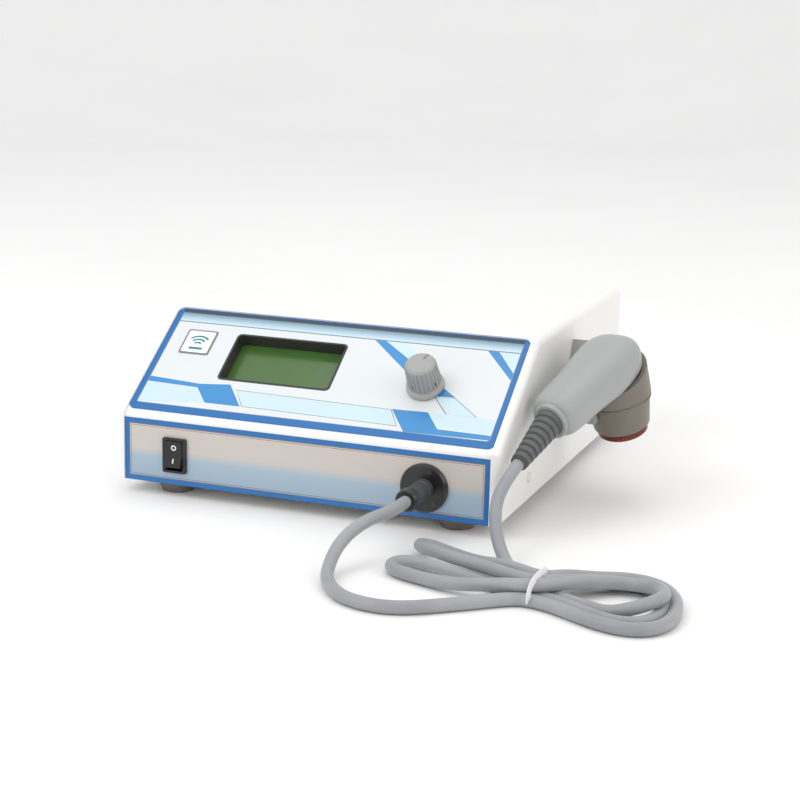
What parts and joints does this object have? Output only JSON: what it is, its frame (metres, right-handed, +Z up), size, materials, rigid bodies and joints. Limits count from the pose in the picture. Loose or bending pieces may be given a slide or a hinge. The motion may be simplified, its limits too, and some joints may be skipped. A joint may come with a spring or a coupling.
{
  "type": "ultrasound therapy device",
  "caption": "Sloped-front table-top cabinet with display window, control knob, rocker switch and round output socket, and a corded angled treatment head parked in a side holder.",
  "frame": {"origin": "on the table, under the middle of the object with its parked handset, without the free cord", "axes": "+Z up, the front with the display faces -Y, +X towards the side that carries the handset"},
  "size_m": [0.3615, 0.4133, 0.1025],
  "materials": {
    "case_white": "fine textured moulding",
    "rear_plate": "satin powder coat",
    "front_print": "printed overlay",
    "slope_print": "printed overlay",
    "badge_print": "printed, grey outline",
    "foot_rubber": "matt",
    "screw_steel": "zinc plated",
    "window_dark": "dark moulding",
    "display_green": "unlit liquid crystal, olive green",
    "pressed_metal": "black oxide",
    "board_green": "solder mask",
    "board_parts": "moulded packages",
    "capacitor_sleeve": "shrink sleeve",
    "knob_grey": "satin moulding",
    "encoder_metal": "nickel plated",
    "encoder_case": "moulded",
    "switch_black": "satin nylon",
    "socket_black": "satin",
    "plug_dark": "satin",
    "inlet_black": "moulded",
    "blade_brass": "nickel plated",
    "fuse_glass": "clear tube",
    "core_steel": "varnished laminations",
    "winding_tape": "yellow polyester tape",
    "sink_aluminium": "black anodised",
    "coil_wire": "enamelled copper",
    "handset_grey": "satin moulding",
    "holder_grey": "satin moulding",
    "head_grey": "satin moulding, warm grey",
    "gasket_black": "matt",
    "face_copper": "copper coloured metal",
    "crystal_ceramic": "silvered ceramic",
    "relief_grey": "soft moulding",
    "cord_grey": "soft PVC",
    "tie_white": "plastic covered wire"
  },
  "bodies": {
    "root": {"top_cover": "case_white", "base_tray": "case_white", "rear_panel": "rear_plate", "front_label": "front_print", "slope_label": "slope_print", "badge": "badge_print", "foot_front_left": "foot_rubber", "foot_front_right": "foot_rubber", "foot_rear_left": "foot_rubber", "foot_rear_right": "foot_rubber", "foot_screws": "screw_steel", "case_screws": "screw_steel", "board_screws": "screw_steel", "holder_screws": "screw_steel", "socket_screws": "screw_steel", "window_frame": "window_dark", "display_glass": "display_green", "display_bezel": "pressed_metal", "display_board": "board_green", "main_board": "board_green", "output_board": "board_green", "board_parts": "board_parts", "power_transistors": "board_parts", "capacitors": "capacitor_sleeve", "encoder_bush": "encoder_metal", "encoder_nut": "encoder_metal", "encoder_body": "encoder_case", "switch_case": "switch_black", "output_socket": "socket_black", "socket_nut": "socket_black", "plug_shell": "plug_dark", "plug_cap": "plug_dark", "mains_inlet": "inlet_black", "inlet_blades": "blade_brass", "transformer_core": "core_steel", "transformer_winding": "winding_tape", "heat_sink": "sink_aluminium", "output_coil": "coil_wire", "handset_holder": "holder_grey", "cord_lead": "cord_grey", "cord_riser": "cord_grey", "cord_hank": "cord_grey", "twist_tie": "tie_white"},
    "rocker": {"rocker": "switch_black"},
    "encoder_plunger": {"push_pin": "encoder_metal"},
    "knob": {"control_knob": "knob_grey", "knob_set_screws": "screw_steel", "encoder_shaft": "encoder_metal"},
    "fuse_drawer": {"fuse_drawer": "inlet_black", "fuse": "fuse_glass"},
    "handset": {"handset_top_shell": "handset_grey", "handset_lower_shell": "handset_grey", "handset_screws": "screw_steel", "handset_gasket": "gasket_black", "handset_collar": "handset_grey", "head_housing": "head_grey", "radiating_face": "face_copper", "face_seal": "gasket_black", "crystal": "crystal_ceramic", "strain_relief": "relief_grey"}
  },
  "joints": [
    {"name": "rocker_tilt", "type": "hinge", "parent": "root", "child": "rocker", "pos_m": [-0.1088, -0.1309, 0.0265], "axis": [1, 0, 0], "range_deg": [0, 16]},
    {"name": "encoder_push", "type": "slide", "parent": "root", "child": "encoder_plunger", "axis": [0, 0.5784, -0.8157], "range_m": [0, 0.0005], "stiffness_N_per_m": 2000, "springref_m": -0.0008},
    {"name": "knob_turn", "type": "hinge", "parent": "encoder_plunger", "child": "knob", "pos_m": [0.0337, -0.09923, 0.07481], "axis": [0, -0.5784, 0.8157], "continuous": true},
    {"name": "fuse_drawer_slide", "type": "slide", "parent": "root", "child": "fuse_drawer", "axis": [0, 1, 0], "range_m": [0, 0.016]},
    {"name": "handset_lift", "type": "slide", "parent": "root", "child": "handset", "axis": [0.0601, -0.3006, 0.9519], "range_m": [0, 0.08]}
  ]
}
